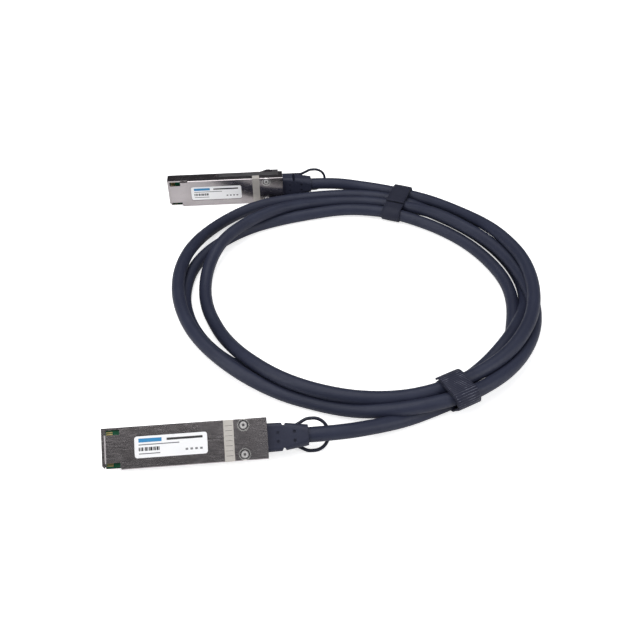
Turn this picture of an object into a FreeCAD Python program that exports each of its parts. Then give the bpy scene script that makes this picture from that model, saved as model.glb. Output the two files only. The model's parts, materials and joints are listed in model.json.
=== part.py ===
"""Direct attach copper cable: two pluggable high-speed connectors on one coiled twinax cable.

Millimetres, +Z up.  The cable lies coiled on its surface at z = 0, with two hook-and-loop ties.
Each connector is modelled once, in its own frame, and placed twice:
  x runs from the nose to the rear, y across the width, z = 0 is the label face and -z the back.
"""
import FreeCAD, Part
import math
import os

# ---- connector body -------------------------------------------------------------------------
PLUG_LENGTH = 72.4          # nose to rear face of the metal shell
PLUG_WIDTH = 18.35          # across the wide face
PLUG_THICKNESS = 8.5        # front part, label face to back
REAR_THICKNESS = 11.0       # rear part, which bulges to the back
BULGE_LENGTH = 10.0         # from the rear face to the slope
BULGE_SLOPE = 4.2           # length of the slope
REAR_WALL_LENGTH = 12.8     # from the rear face to the board's room
THROAT_HALF = 3.9           # narrower way from there to the ferrule
THROAT_OVERLAP = 0.4
COVER_THICKNESS = 1.2
SHELL_WALL = 1.0
SIDE_WALL = 2.25            # beside the slider grooves
EDGE_ROUND = 0.6
REAR_ROUND = 1.2

# ---- nose -----------------------------------------------------------------------------------
NOSE_NARROW_LENGTH = 8.4    # the first stretch of the body is narrower on one side
NOSE_NARROWING = 0.75
NOSE_CORNER = 1.3           # chamfer of that side's front corner
NOSE_FRAME = 1.2            # walls across the front, above and below the mouth
NOSE_FRAME_DEPTH = 5.2      # lower edge of the mouth below the label face
NOSE_LIP = 0.5              # thickness of the lip above the mouth
NOSE_CAVITY_END = 12.0
COVER_SETBACK = 1.3         # cover starts behind the nose
COVER_FRONT_CHAMFER = 0.75
COVER_EDGE_CHAMFER = 0.35
COVER_NARROW_LENGTH = 12.7
COVER_NARROWING = 0.95
CORNER_NOTCH_LENGTH = 8.1   # cover notches that show the board's corners
CORNER_NOTCH_WIDTH = 3.1

# ---- board ----------------------------------------------------------------------------------
CARD_THICKNESS = 1.0
CARD_DEPTH = 3.0            # top of the board below the label face
CARD_FRONT = 1.6
CARD_NOSE_INSET = 1.075     # board's nose inside the body's widest outline, each side
CARD_NOSE_END = 9.5
CARD_REAR_ROOM = 24.4       # from the rear face to the board
CARD_NOSE_GAP = 0.12
CARD_SIDE_GAP = 0.3
PAD_PITCH = 0.8
PAD_MARGIN = 0.4            # between the outermost pads and the board's edge, at least
PAD_WIDTH = 0.55
PAD_LENGTH = 2.8
PAD_THICKNESS = 0.08
CHIP_LENGTH = 4.9
CHIP_WIDTH = 3.9
CHIP_HEIGHT = 1.4
CHIP_PLACE = 22.0
CHIP_LEG = 0.9
CAPACITOR_LENGTH = 1.0
CAPACITOR_WIDTH = 0.5
CAPACITOR_GAP = 7.1         # between the chip and the row of capacitors
CAPACITOR_COUNT = 8
CARD_REST_LENGTH = 2.0
CARD_FRONT_REST = 15.5      # bars under the board
CARD_REAR_REST = 8.0        # before the board's rear edge

# ---- wires, ferrule and boot ----------------------------------------------------------------
CABLE_DIAMETER = 7.0
CORE_DIAMETER = 5.6         # cable without its jacket, inside the ferrule
CABLE_DEPTH = 5.8           # cable axis below the label face
PAIR_DIAMETER = 1.25
PAIR_PITCH = 3.0            # between pairs on the board
PAIR_CIRCLE = 2.1           # radius of the ring of pairs inside the cable
PAIR_OVERLAP = 3.4          # length soldered on the board
PAIR_STRAIGHT = 2.5         # from the board's edge to the first bend
PAIR_BEND_END = 8.4         # last bend before the rear face
PAIR_CLEARANCE = 0.3
FERRULE_WALL = 0.6
FERRULE_LENGTH = 6.2
FIT = 0.1                   # push fit, each side
BOOT_LENGTH = 18.2
BOOT_BLOCK_LENGTH = 6.1
BOOT_BLOCK_WIDTH = 12.9
BOOT_THICKNESS = 7.8
BOOT_TAIL_START_WIDTH = 12.4
BOOT_TAIL_END_WIDTH = 9.4
BOOT_ROUND = 1.6
BOOT_NOTCH_WIDTH = 2.2
BOOT_NOTCH_DEPTH = 2.1
BOOT_DIMPLE_DIAMETER = 1.4
BOOT_DIMPLE_DEPTH = 0.5
BOOT_DIMPLE_PLACES = (4.6, 12.0)
BOOT_BORE_CLEARANCE = 0.15

# ---- gasket, screws, label ------------------------------------------------------------------
GASKET_PLACE = 19.2         # front edge of the gasket before the rear face
GASKET_LENGTH = 4.5
GASKET_THICKNESS = 0.25
GASKET_RECESS = 0.3
GASKET_SLOT_WIDTH = 0.15
GASKET_SLOT_LENGTH = 3.1
GASKET_SLOT_COUNT = 7
SCREW_BACK = 10.4           # screws before the rear face
SCREW_INSET = 2.775         # from the body's side
SCREW_HEAD_DIAMETER = 3.5
SCREW_RING_DIAMETER = 4.7
SCREW_RING_DEPTH = 0.5
SCREW_HEAD_HEIGHT = 0.75
SCREW_SHANK_DIAMETER = 1.8
SCREW_LENGTH = 5.6
SCREW_DRIVE = 1.3
SCREW_DRIVE_DEPTH = 0.4
LABEL_BACK = 7.2            # label before the gasket
LABEL_LENGTH = 31.6
LABEL_WIDTH = 9.4
LABEL_ROUND = 1.2
LABEL_THICKNESS = 0.14
LABEL_MARGIN = 0.3
LABEL_POCKET_DEPTH = 0.2

# ---- latch slider ---------------------------------------------------------------------------
SLIDER_TRAVEL = 2.2
SLIDER_THICKNESS = 0.9
SLIDER_GAP = 0.15
SLIDER_BEND = 0.7           # outer round where the legs turn into the bridge
ARM_REACH = 41.6            # arms' tips before the rear face
ARM_HEIGHT = 4.0
ARM_TOP = 3.9               # upper edge of the arm below the label face
ARM_WINDOW_LENGTH = 2.6
ARM_WINDOW_HEIGHT = 2.0
ARM_WEDGE_LENGTH = 1.6
BRIDGE_BACK = 7.5           # bridge's front edge before the rear face
BRIDGE_LENGTH = 4.9
LEG_LENGTH = 3.6
SPRING_INSET = 2.575        # spring's axis from the body's side
SPRING_DIAMETER = 2.2
SPRING_WIRE = 0.4
SPRING_TURNS = 3.5
SPRING_FLATS = 10           # flats in one turn
SPRING_LENGTH = 4.6
TAB_THICKNESS = 0.7
TAB_WIDTH = 1.8
POCKET_WIDTH = 2.7
POCKET_DEPTH = 2.9
LOOP_WIRE = 1.6
LOOP_WIDTH = 14.6           # over centres
LOOP_REACH = 10.2           # past the end of the boot, outside
LOOP_ROOT = 8.8             # between the two legs at the slider
LOOP_SPREAD_START = 12.5    # behind the rear face, where the legs part
LOOP_SPREAD_LENGTH = 5.5
LOOP_LEG_BEND = 5.0
LOOP_END_ROUND = 6.8
LOOP_PAD_LENGTH = 3.4
LOOP_PAD_WIDTH = 2.6
LOOP_PAD_THICKNESS = 0.5
LOOP_CLEARANCE = 0.35       # between the boot's back and the loop

# ---- where the connectors lie ---------------------------------------------------------------
FAR_NOSE = (-49.9, 97.4)    # this connector stands on its narrow side
FAR_TURN = 4.7
FAR_TIP = 90.0
NEAR_NOSE = (-49.2, -111.5)  # this one leans back on its long edge
NEAR_TURN = 5.4
NEAR_TIP = 41.0

# ---- cable ----------------------------------------------------------------------------------
COIL_CENTRE = (63.9, 12.3)
EXIT_STRAIGHT = 15.0
FAR_ROUTE = [(71.9, 111.9, 6.5), (86.0, 108.0, 6.5)]
NEAR_ROUTE = [(71.9, -91.8, 6.8), (86.5, -85.0, 3.6), (101.2, -78.0, 3.6)]
LANE_ROOT = 90.0
COIL_TALL = 20.4
# outer and inner edges of the coil as (angle, radius) about its centre
COIL_OUTER = [(90, 93.6), (77, 93.6), (60, 94.6), (40, 97.0), (20, 99.0), (0, 100.0), (-25, 99.0),
              (-45, 96.0), (-58, 93.8), (-70, 93.5), (-92, 93.8), (-112, 91.8), (-136, 94.2),
              (-157, 97.0), (-180, 99.8), (-195, 102.0), (-210, 103.0), (-225, 103.2), (-238, 101.0),
              (-247, 97.4), (-258, 94.4)]
COIL_INNER = [(90, 74.6), (60, 75.5), (45, 76.5), (27, 79.5), (13, 81.8), (0, 84.0), (-20, 85.5),
              (-45, 86.8), (-60, 87.3), (-76, 86.8), (-94, 84.0), (-112, 79.0), (-136, 74.6),
              (-150, 74.2), (-165, 75.6), (-180, 78.0), (-195, 79.2), (-210, 78.6), (-228, 75.6),
              (-246, 74.2)]
COIL_LANE = [(80, 101.7), (60, 101.6), (45, 101.2), (20, 102.2), (0, 103.0), (-30, 104.0),
             (-54, 104.2), (-70, 102.2)]
# height of the coil along x from its centre, for its far half and its near half
FAR_HEIGHTS = [(-110, 14.2), (-40, 14.2), (0, 12.2), (20, 10.6), (40, 10.6), (82, 20.4), (110, 20.4)]
NEAR_HEIGHTS = [(-110, 14.2), (-30, 13.6), (20, 13.8), (42, 15.2), (64, 15.2), (86, 20.4), (110, 20.4)]

# ---- ties -----------------------------------------------------------------------------------
TIE_WIDTH = 10.0
TIE_THICKNESS = 1.2
TIE_GAP = 0.3
TIE_ROUND = 1.7
BACK_TIE_ANGLE = 72.0
BACK_TIE_EDGES = (74.6, 102.0)      # radii that the tie goes round
BACK_TIE_TOP = 10.6
FRONT_TIE_ANGLE = -57.0
FRONT_TIE_EDGES = (87.2, 104.5)
FRONT_TIE_TOP = 15.2

HALF = PLUG_WIDTH / 2
BULGE_END = PLUG_LENGTH - BULGE_LENGTH
BULGE_START = BULGE_END - BULGE_SLOPE
ROOM_END = PLUG_LENGTH - REAR_WALL_LENGTH
THROAT_START = ROOM_END - THROAT_OVERLAP
CARD_NOSE_HALF = HALF - CARD_NOSE_INSET
CARD_END = PLUG_LENGTH - CARD_REAR_ROOM
PAD_COUNT = int((2 * (CARD_NOSE_HALF - PAD_MARGIN) - PAD_WIDTH) / PAD_PITCH) + 1
GASKET_START = PLUG_LENGTH - GASKET_PLACE
LABEL_START = GASKET_START - LABEL_BACK - LABEL_LENGTH
SCREW_PLACE = PLUG_LENGTH - SCREW_BACK
SCREW_OFFSET = HALF - SCREW_INSET
ARM_START = PLUG_LENGTH - ARM_REACH
BRIDGE_START = PLUG_LENGTH - BRIDGE_BACK
SPRING_PLACE = HALF - SPRING_INSET
COVER_BACK = -COVER_THICKNESS
BACK = -PLUG_THICKNESS
REAR_BACK = -REAR_THICKNESS
CARD_TOP = -CARD_DEPTH
CARD_BACK = CARD_TOP - CARD_THICKNESS
CABLE_Z = -CABLE_DEPTH
CABLE_RADIUS = CABLE_DIAMETER / 2
CORE_RADIUS = CORE_DIAMETER / 2
FERRULE_RADIUS = CORE_RADIUS + FIT + FERRULE_WALL
FERRULE_START = PLUG_LENGTH - FERRULE_LENGTH
BOOT_END = PLUG_LENGTH + BOOT_LENGTH
INNER_HALF = HALF - SIDE_WALL
GROOVE_DEPTH = SLIDER_THICKNESS + 2 * SLIDER_GAP
BRIDGE_TOP = REAR_BACK + SLIDER_GAP + SLIDER_THICKNESS
LOOP_Z = CABLE_Z - BOOT_THICKNESS / 2 - 0.2 - LOOP_CLEARANCE - LOOP_WIRE / 2


def vec(x, y, z=0.0):
    return FreeCAD.Vector(x, y, z)


def box(x0, x1, y0, y1, z0, z1):
    return Part.makeBox(x1 - x0, y1 - y0, z1 - z0, vec(x0, y0, z0))


def rod(x, y, z, radius, length, direction=(0, 0, 1)):
    return Part.makeCylinder(radius, length, vec(x, y, z), vec(*direction))


def both_sides(shape):
    """The shape and its mirror image across the centre line, as one."""
    return shape.fuse(shape.mirror(vec(0, 0, 0), vec(0, 1, 0)))


def pair_of(shape):
    """The shape and its mirror image across the centre line, as separate solids."""
    return Part.makeCompound([shape, shape.mirror(vec(0, 0, 0), vec(0, 1, 0))])


def rounded_plate(x0, x1, width, z0, z1, radius):
    """A flat plate centred on y = 0 with its four corners rounded."""
    plate = box(x0, x1, -width / 2, width / 2, z0, z1)
    upright = [e for e in plate.Edges if abs(e.Vertexes[0].Z - e.Vertexes[-1].Z) > (z1 - z0) / 2]
    return plate.makeFillet(radius, upright)


def rounded_section(x, width, thickness, radius):
    """A rounded rectangle across the cable axis, as a wire."""
    w = width / 2
    t = thickness / 2
    k = radius * (1 - math.sqrt(0.5))
    z = CABLE_Z
    corners = [(w, t, 1, 1), (-w, t, -1, 1), (-w, -t, -1, -1), (w, -t, 1, -1)]
    edges = []
    last = vec(x, w, z - t + radius)
    for y, dz, sy, sz in corners:
        side = vec(x, y, z + dz - sz * radius)
        flat = vec(x, y - sy * radius, z + dz)
        middle = vec(x, y - sy * k, z + dz - sz * k)
        start, end = (side, flat) if sy * sz > 0 else (flat, side)
        edges.append(Part.LineSegment(last, start).toShape())
        edges.append(Part.Arc(start, middle, end).toShape())
        last = end
    return Part.Wire(edges)


def arc_path(points, radii):
    """Straight runs between the points, joined by tangent arcs of the given radii."""
    edges = []
    last = points[0]
    for i, radius in enumerate(radii, start=1):
        before = (points[i - 1] - points[i]).normalize()
        after = (points[i + 1] - points[i]).normalize()
        half_turn = (math.pi - before.getAngle(after)) / 2
        cut = radius * math.tan(half_turn)
        start = points[i] + before * cut
        end = points[i] + after * cut
        inward = (before + after).normalize()
        middle = points[i] + inward * (radius / math.cos(half_turn) - radius)
        edges.append(Part.LineSegment(last, start).toShape())
        edges.append(Part.Arc(start, middle, end).toShape())
        last = end
    edges.append(Part.LineSegment(last, points[-1]).toShape())
    return Part.Wire(edges)


def tube(path, radius):
    """A round bar along the path."""
    start = path.OrderedVertexes[0].Point
    first = path.OrderedEdges[0]
    direction = first.tangentAt(first.FirstParameter)
    ring = Part.Wire(Part.Circle(start, direction, radius).toShape())
    return path.makePipeShell([ring], True, True)


def cord_radii(points):
    """Arc radii that use 0.45 of the shorter run at each turn."""
    radii = []
    for i in range(1, len(points) - 1):
        before = points[i - 1] - points[i]
        after = points[i + 1] - points[i]
        turn = math.pi - before.getAngle(after)
        radii.append(0.45 * min(before.Length, after.Length) / math.tan(turn / 2))
    return radii


# ---- connector pieces, in the connector's own frame --------------------------------------------

def body_block():
    """Outline of the metal housing below the cover, before anything is cut out."""
    chin = 0.9
    profile = [(0, COVER_BACK), (0, BACK + chin), (chin, BACK), (BULGE_START, BACK),
               (BULGE_END, REAR_BACK), (PLUG_LENGTH, REAR_BACK), (PLUG_LENGTH, COVER_BACK)]
    corners = [vec(x, -HALF, z) for x, z in profile]
    face = Part.Face(Part.makePolygon(corners + corners[:1]))
    block = face.extrude(vec(0, PLUG_WIDTH, 0))
    rear = [e for e in block.Edges if e.BoundBox.XMin > PLUG_LENGTH - 0.01 and e.BoundBox.ZMax < REAR_BACK + 0.01]
    block = block.makeFillet(REAR_ROUND, rear)
    long_edges = [e for e in block.Edges
                  if e.BoundBox.YLength < 0.01 and e.BoundBox.XLength > 3.5 and e.BoundBox.ZMax < BACK + 0.01]
    return block.makeFillet(EDGE_ROUND, long_edges)


def slider_groove():
    """Room for the slider on one side, with its travel, and across the back."""
    top = -ARM_TOP + SLIDER_GAP
    low = -ARM_TOP - ARM_HEIGHT - SLIDER_GAP
    arm = box(ARM_START - 1.0, PLUG_LENGTH + 1, HALF - GROOVE_DEPTH, HALF + 1, low, top)
    leg_start = BRIDGE_START + BRIDGE_LENGTH - LEG_LENGTH - SLIDER_GAP
    leg = box(leg_start, PLUG_LENGTH + 1, HALF - GROOVE_DEPTH, HALF + 1, REAR_BACK - 1, top)
    return arm.fuse(leg)


def gasket_zone(inset, start, length):
    """A block that fits inside the body with the given inset, between two x positions."""
    return box(start, start + length, -HALF + inset, HALF - inset, BACK + inset, -inset)


def gasket_recess():
    ring = box(GASKET_START, GASKET_START + GASKET_LENGTH, -HALF - 1, HALF + 1, BACK - 1, 1)
    return ring.cut(gasket_zone(GASKET_RECESS, GASKET_START - 1, GASKET_LENGTH + 2))


def nose_step(low):
    """What the nose lacks on its keyed side: a long step and the front corner."""
    outer = -HALF - 1
    inner = NOSE_NARROWING - HALF
    points = [vec(-1, outer, low), vec(NOSE_NARROW_LENGTH, outer, low), vec(NOSE_NARROW_LENGTH, inner, low),
              vec(NOSE_CORNER, inner, low), vec(0, inner + NOSE_CORNER, low), vec(-1, inner + NOSE_CORNER, low)]
    return Part.Face(Part.makePolygon(points + points[:1])).extrude(vec(0, 0, 1 - low))


def make_base_shell():
    shell = body_block()
    floor = BACK + SHELL_WALL
    card_half = CARD_NOSE_HALF + CARD_NOSE_GAP
    nose_room = box(NOSE_FRAME, NOSE_CAVITY_END, -card_half, card_half, floor, 0)
    mouth = box(-1, NOSE_FRAME + 0.1, -card_half, card_half, -NOSE_FRAME_DEPTH, COVER_BACK - NOSE_LIP)
    room = box(NOSE_CAVITY_END - 1, ROOM_END, -INNER_HALF, INNER_HALF, floor, 0)
    throat_floor = CABLE_Z - PAIR_CIRCLE - PAIR_DIAMETER / 2 - PAIR_CLEARANCE
    throat = box(THROAT_START, FERRULE_START + 0.1, -THROAT_HALF, THROAT_HALF, throat_floor, 0)
    bore = rod(FERRULE_START - 0.1, 0, CABLE_Z, FERRULE_RADIUS + FIT, FERRULE_LENGTH + 1, (1, 0, 0))
    shell = shell.cut(nose_room.fuse([mouth, room, throat, bore]))
    shell = shell.cut(nose_step(BACK - 1))
    for place in (CARD_FRONT_REST, CARD_END - CARD_REAR_REST):
        half = INNER_HALF if place > NOSE_CAVITY_END else card_half
        rest = box(place, place + CARD_REST_LENGTH, -half, half, floor - 0.1, CARD_BACK)
        shell = shell.fuse(rest)
    boss = rod(SCREW_PLACE, SCREW_OFFSET, BACK + SHELL_WALL, SCREW_SHANK_DIAMETER / 2, 20)
    pocket = box(BRIDGE_START, BRIDGE_START + TAB_THICKNESS + SPRING_LENGTH + 2 * SLIDER_GAP,
                 SPRING_PLACE - POCKET_WIDTH / 2, SPRING_PLACE + POCKET_WIDTH / 2,
                 REAR_BACK - 1, BRIDGE_TOP + POCKET_DEPTH)
    bridge_room = box(BRIDGE_START - SLIDER_GAP, PLUG_LENGTH + 1, -HALF - 1, HALF + 1,
                      REAR_BACK - 1, BRIDGE_TOP + SLIDER_GAP)
    shell = shell.cut(both_sides(slider_groove().fuse([boss, pocket])))
    shell = shell.cut(bridge_room)
    return shell.cut(gasket_recess()).removeSplitter()


def make_cover():
    plate = box(COVER_SETBACK, PLUG_LENGTH, -HALF, HALF, COVER_BACK, 0)
    front = [e for e in plate.Edges if e.BoundBox.ZMin > -0.01 and e.BoundBox.XMax < COVER_SETBACK + 0.01]
    plate = plate.makeChamfer(COVER_FRONT_CHAMFER, front)
    long_edges = [e for e in plate.Edges if e.BoundBox.ZMin > -0.01 and e.BoundBox.YLength < 0.01]
    plate = plate.makeChamfer(COVER_EDGE_CHAMFER, long_edges)
    side = box(0, COVER_NARROW_LENGTH, HALF - COVER_NARROWING, HALF + 1, -5, 1)
    keyed_side = box(0, NOSE_NARROW_LENGTH, -HALF - 1, COVER_NARROWING - HALF, -5, 1)
    notch = box(0, CORNER_NOTCH_LENGTH, HALF - CORNER_NOTCH_WIDTH, HALF + 1, -5, 1)
    hole = rod(SCREW_PLACE, SCREW_OFFSET, -5, SCREW_SHANK_DIAMETER / 2 + FIT, 10)
    ring = rod(SCREW_PLACE, SCREW_OFFSET, -SCREW_RING_DEPTH, SCREW_RING_DIAMETER / 2, 2)
    plate = plate.cut(both_sides(notch.fuse([hole, ring])).fuse([side, keyed_side]))
    pocket = rounded_plate(LABEL_START - LABEL_MARGIN, LABEL_START + LABEL_LENGTH + LABEL_MARGIN,
                           LABEL_WIDTH + 2 * LABEL_MARGIN, -LABEL_POCKET_DEPTH, 1, LABEL_ROUND + LABEL_MARGIN)
    plate = plate.cut(pocket).cut(gasket_recess())
    rail_side = INNER_HALF - FIT
    rail = box(COVER_NARROW_LENGTH + 1.5, GASKET_START - 1, rail_side - 0.8, rail_side,
               COVER_BACK - 0.9, COVER_BACK + 0.2)
    return plate.fuse(both_sides(rail)).removeSplitter()


def make_gasket():
    """Two C-shaped spring strips, one round each wide face, that leave the slider's grooves free."""
    gap = GASKET_RECESS - GASKET_THICKNESS
    outer = gasket_zone(gap / 2, GASKET_START + gap, GASKET_LENGTH - 2 * gap)
    inner = gasket_zone(gap / 2 + GASKET_THICKNESS, GASKET_START - 1, GASKET_LENGTH + 2)
    band = outer.cut(inner)
    step = (PLUG_WIDTH - 3.0) / GASKET_SLOT_COUNT
    slot_start = GASKET_START + (GASKET_LENGTH - GASKET_SLOT_LENGTH) / 2
    band = band.cut(both_sides(slider_groove()))
    slots = []
    for i in range(GASKET_SLOT_COUNT):
        y = (i - (GASKET_SLOT_COUNT - 1) / 2) * step
        slots.append(box(slot_start, slot_start + GASKET_SLOT_LENGTH, y - GASKET_SLOT_WIDTH / 2,
                         y + GASKET_SLOT_WIDTH / 2, BACK - 1, 1))
    return band.cut(Part.makeCompound(slots))


def make_card():
    nose_half = CARD_NOSE_HALF
    tail_half = INNER_HALF - CARD_SIDE_GAP
    corner = 0.6
    outline = [(CARD_FRONT, -nose_half + corner), (CARD_FRONT + corner, -nose_half), (CARD_NOSE_END, -nose_half),
               (CARD_NOSE_END + 1.2, -tail_half), (CARD_END, -tail_half)]
    outline += [(x, -y) for x, y in reversed(outline)]
    corners = [vec(x, y, CARD_BACK) for x, y in outline]
    board = Part.Face(Part.makePolygon(corners + corners[:1])).extrude(vec(0, 0, CARD_THICKNESS))
    return board


def make_contacts():
    pads = []
    for i in range(PAD_COUNT):
        y = (i - (PAD_COUNT - 1) / 2) * PAD_PITCH
        for z in (CARD_TOP, CARD_BACK - PAD_THICKNESS):
            pads.append(box(CARD_FRONT + 0.3, CARD_FRONT + 0.3 + PAD_LENGTH, y - PAD_WIDTH / 2,
                            y + PAD_WIDTH / 2, z, z + PAD_THICKNESS))
    return Part.makeCompound(pads)


def make_chip():
    x = CHIP_PLACE
    body = box(x, x + CHIP_LENGTH, -CHIP_WIDTH / 2, CHIP_WIDTH / 2, CARD_TOP + 0.12, CARD_TOP + CHIP_HEIGHT)
    legs = []
    for i in range(4):
        leg_x = x + CHIP_LENGTH * (i + 0.5) / 4
        legs.append(box(leg_x - 0.2, leg_x + 0.2, -CHIP_WIDTH / 2 - CHIP_LEG, CHIP_WIDTH / 2 + CHIP_LEG,
                        CARD_TOP, CARD_TOP + 0.2))
    return body.fuse(legs).removeSplitter()


def make_capacitors():
    blocks = []
    start = CHIP_PLACE + CHIP_LENGTH + CAPACITOR_GAP
    pitch = 2 * (INNER_HALF - 1.0) / CAPACITOR_COUNT
    for i in range(CAPACITOR_COUNT):
        y = (i - (CAPACITOR_COUNT - 1) / 2) * pitch
        blocks.append(box(start, start + CAPACITOR_LENGTH, y - CAPACITOR_WIDTH / 2,
                          y + CAPACITOR_WIDTH / 2, CARD_TOP, CARD_TOP + CAPACITOR_WIDTH))
    return Part.makeCompound(blocks)


def make_wire_pairs():
    """Eight shielded pairs: four on each face of the board, gathered into the cable."""
    radius = PAIR_DIAMETER / 2
    pairs = []
    for level, z in ((1, CARD_TOP + radius), (-1, CARD_BACK - radius)):
        for i in range(4):
            y = (1.5 - i) * PAIR_PITCH
            angle = level * math.radians(22.5 + 45 * i)
            end_y = PAIR_CIRCLE * math.cos(angle)
            end_z = CABLE_Z + PAIR_CIRCLE * math.sin(angle)
            points = [vec(CARD_END - PAIR_OVERLAP, y, z), vec(CARD_END + PAIR_STRAIGHT, y, z),
                      vec(PLUG_LENGTH - PAIR_BEND_END, end_y, end_z),
                      vec(FERRULE_START + 0.4, end_y, end_z)]
            pairs.append(tube(arc_path(points, [3.0, 3.0]), radius))
    return Part.makeCompound(pairs)


def make_ferrule():
    x = FERRULE_START
    outer = rod(x, 0, CABLE_Z, FERRULE_RADIUS, FERRULE_LENGTH, (1, 0, 0))
    return outer.cut(rod(x - 1, 0, CABLE_Z, CORE_RADIUS + FIT, FERRULE_LENGTH + 2, (1, 0, 0)))


def make_cable_end():
    """The cable's last stretch: whole inside the boot, stripped of its jacket inside the ferrule."""
    core_start = FERRULE_START + 0.4
    core = rod(core_start, 0, CABLE_Z, CORE_RADIUS, PLUG_LENGTH + 1 - core_start, (1, 0, 0))
    jacket = rod(PLUG_LENGTH + FIT, 0, CABLE_Z, CABLE_RADIUS, BOOT_LENGTH - FIT, (1, 0, 0))
    return core.fuse(jacket).removeSplitter()


def make_boot():
    x = PLUG_LENGTH
    neck = x + BOOT_BLOCK_LENGTH
    block = Part.makeLoft([rounded_section(x, BOOT_BLOCK_WIDTH, BOOT_THICKNESS, BOOT_ROUND),
                           rounded_section(neck + 1.2, BOOT_BLOCK_WIDTH - 0.4, BOOT_THICKNESS, BOOT_ROUND)], True)
    tail = Part.makeLoft([rounded_section(neck + 1.2, BOOT_TAIL_START_WIDTH, BOOT_THICKNESS, BOOT_ROUND),
                          rounded_section(BOOT_END, BOOT_TAIL_END_WIDTH, BOOT_THICKNESS + 0.4, 3.2)], True)
    boot = block.fuse(tail)
    side = BOOT_BLOCK_WIDTH / 2
    notch_points = [vec(neck, side + 0.1, -20), vec(neck + BOOT_NOTCH_WIDTH, side + 0.1, -20),
                    vec(neck + BOOT_NOTCH_WIDTH / 2, side - BOOT_NOTCH_DEPTH, -20)]
    notch = Part.Face(Part.makePolygon(notch_points + notch_points[:1])).extrude(vec(0, 0, 30))
    boot = boot.cut(both_sides(notch))
    for place in BOOT_DIMPLE_PLACES:
        top = CABLE_Z + BOOT_THICKNESS / 2
        boot = boot.cut(rod(x + place, 2.0, top - BOOT_DIMPLE_DEPTH, BOOT_DIMPLE_DIAMETER / 2, 2))
        boot = boot.cut(rod(x + place, -2.0, top - BOOT_DIMPLE_DEPTH, BOOT_DIMPLE_DIAMETER / 2, 2))
    return boot.cut(rod(x - 1, 0, CABLE_Z, CABLE_RADIUS + BOOT_BORE_CLEARANCE, BOOT_LENGTH + 2, (1, 0, 0)))


def make_screws():
    head = rod(SCREW_PLACE, SCREW_OFFSET, -SCREW_RING_DEPTH, SCREW_HEAD_DIAMETER / 2, SCREW_HEAD_HEIGHT)
    rim = [e for e in head.Edges if e.BoundBox.ZMin > -SCREW_RING_DEPTH + 0.1 and e.BoundBox.ZLength < 0.01]
    head = head.makeChamfer(0.25, rim)
    shank = rod(SCREW_PLACE, SCREW_OFFSET, -SCREW_RING_DEPTH - SCREW_LENGTH + 0.1, SCREW_SHANK_DIAMETER / 2 - FIT / 2,
                SCREW_LENGTH)
    top = SCREW_HEAD_HEIGHT - SCREW_RING_DEPTH
    slot = SCREW_DRIVE
    drive = box(SCREW_PLACE - slot, SCREW_PLACE + slot, SCREW_OFFSET - 0.2, SCREW_OFFSET + 0.2,
                top - SCREW_DRIVE_DEPTH, top + 1)
    drive = drive.fuse(box(SCREW_PLACE - 0.2, SCREW_PLACE + 0.2, SCREW_OFFSET - slot, SCREW_OFFSET + slot,
                           top - SCREW_DRIVE_DEPTH, top + 1))
    return pair_of(head.fuse(shank).cut(drive).removeSplitter())


def make_label():
    return rounded_plate(LABEL_START, LABEL_START + LABEL_LENGTH, LABEL_WIDTH,
                         -LABEL_POCKET_DEPTH, LABEL_THICKNESS - LABEL_POCKET_DEPTH, LABEL_ROUND)


def make_slider():
    """Two side arms, joined by legs to a bridge across the back, with a tab before each spring."""
    side = HALF - SLIDER_GAP
    end = BRIDGE_START + BRIDGE_LENGTH
    arm_low = -ARM_TOP - ARM_HEIGHT
    arm = box(ARM_START, end, side - SLIDER_THICKNESS, side, arm_low, -ARM_TOP)
    middle = -ARM_TOP - ARM_HEIGHT / 2
    window_start = ARM_START + ARM_WEDGE_LENGTH
    window = box(window_start, window_start + ARM_WINDOW_LENGTH, side - 0.5, side + 1,
                 middle - ARM_WINDOW_HEIGHT / 2, middle + ARM_WINDOW_HEIGHT / 2)
    wedge_points = [vec(ARM_START - 0.1, side + 0.1, arm_low - 1), vec(ARM_START + ARM_WEDGE_LENGTH, side + 0.1, arm_low - 1),
                    vec(ARM_START - 0.1, side - 0.6, arm_low - 1)]
    wedge = Part.Face(Part.makePolygon(wedge_points + wedge_points[:1])).extrude(vec(0, 0, ARM_HEIGHT + 2))
    leg = box(end - LEG_LENGTH, end, side - SLIDER_THICKNESS, side, REAR_BACK + SLIDER_GAP, -ARM_TOP)
    tab = box(BRIDGE_START, BRIDGE_START + TAB_THICKNESS, SPRING_PLACE - TAB_WIDTH / 2, SPRING_PLACE + TAB_WIDTH / 2,
              REAR_BACK + SLIDER_GAP, BRIDGE_TOP + POCKET_DEPTH - 2 * SLIDER_GAP)
    bridge = box(BRIDGE_START, end, -side, side, REAR_BACK + SLIDER_GAP, BRIDGE_TOP)
    slider = both_sides(arm.fuse([leg, tab]).cut(window).cut(wedge)).fuse(bridge).removeSplitter()
    bends = [e for e in slider.Edges if e.BoundBox.ZMax < REAR_BACK + SLIDER_GAP + 0.01
             and e.BoundBox.YLength < 0.01 and abs(abs(e.BoundBox.YMin) - side) < 0.01]
    return slider.makeFillet(SLIDER_BEND, bends)


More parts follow.
